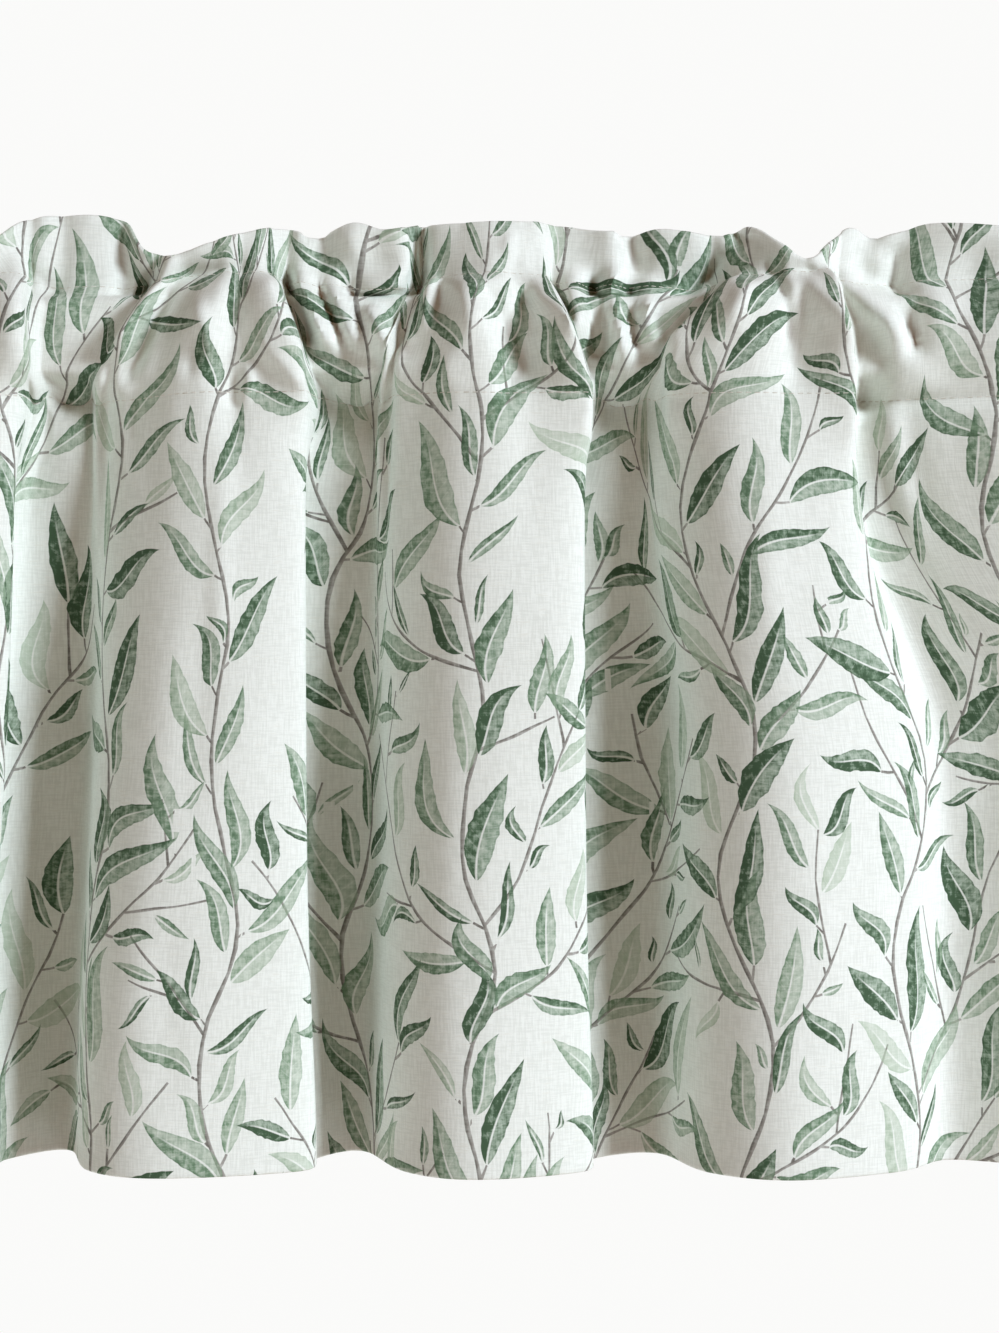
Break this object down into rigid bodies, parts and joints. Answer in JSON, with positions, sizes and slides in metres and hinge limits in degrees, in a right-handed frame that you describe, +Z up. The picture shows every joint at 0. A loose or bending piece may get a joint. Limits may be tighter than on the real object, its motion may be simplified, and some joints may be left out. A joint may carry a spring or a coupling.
{
  "type": "window valance",
  "caption": "Rod-pocket window valance of printed linen-look cloth with a frilled header, gathered into soft uneven forward folds above a plain hem.",
  "frame": {"origin": "the middle of the frill's top edge, at the height of its highest point, over the middle of the rod pocket", "axes": "+X to the right along the width as seen from the front, +Y to the back, so the front faces -Y, +Z up"},
  "size_m": [0.8652, 0.0746, 0.4559],
  "materials": {
    "printed_linen_look": "matt linen-look weave in off-white, printed with grey-brown stems and sage green willow leaves"
  },
  "bodies": {
    "root": {"valance_cloth": "printed_linen_look"}
  },
  "joints": []
}
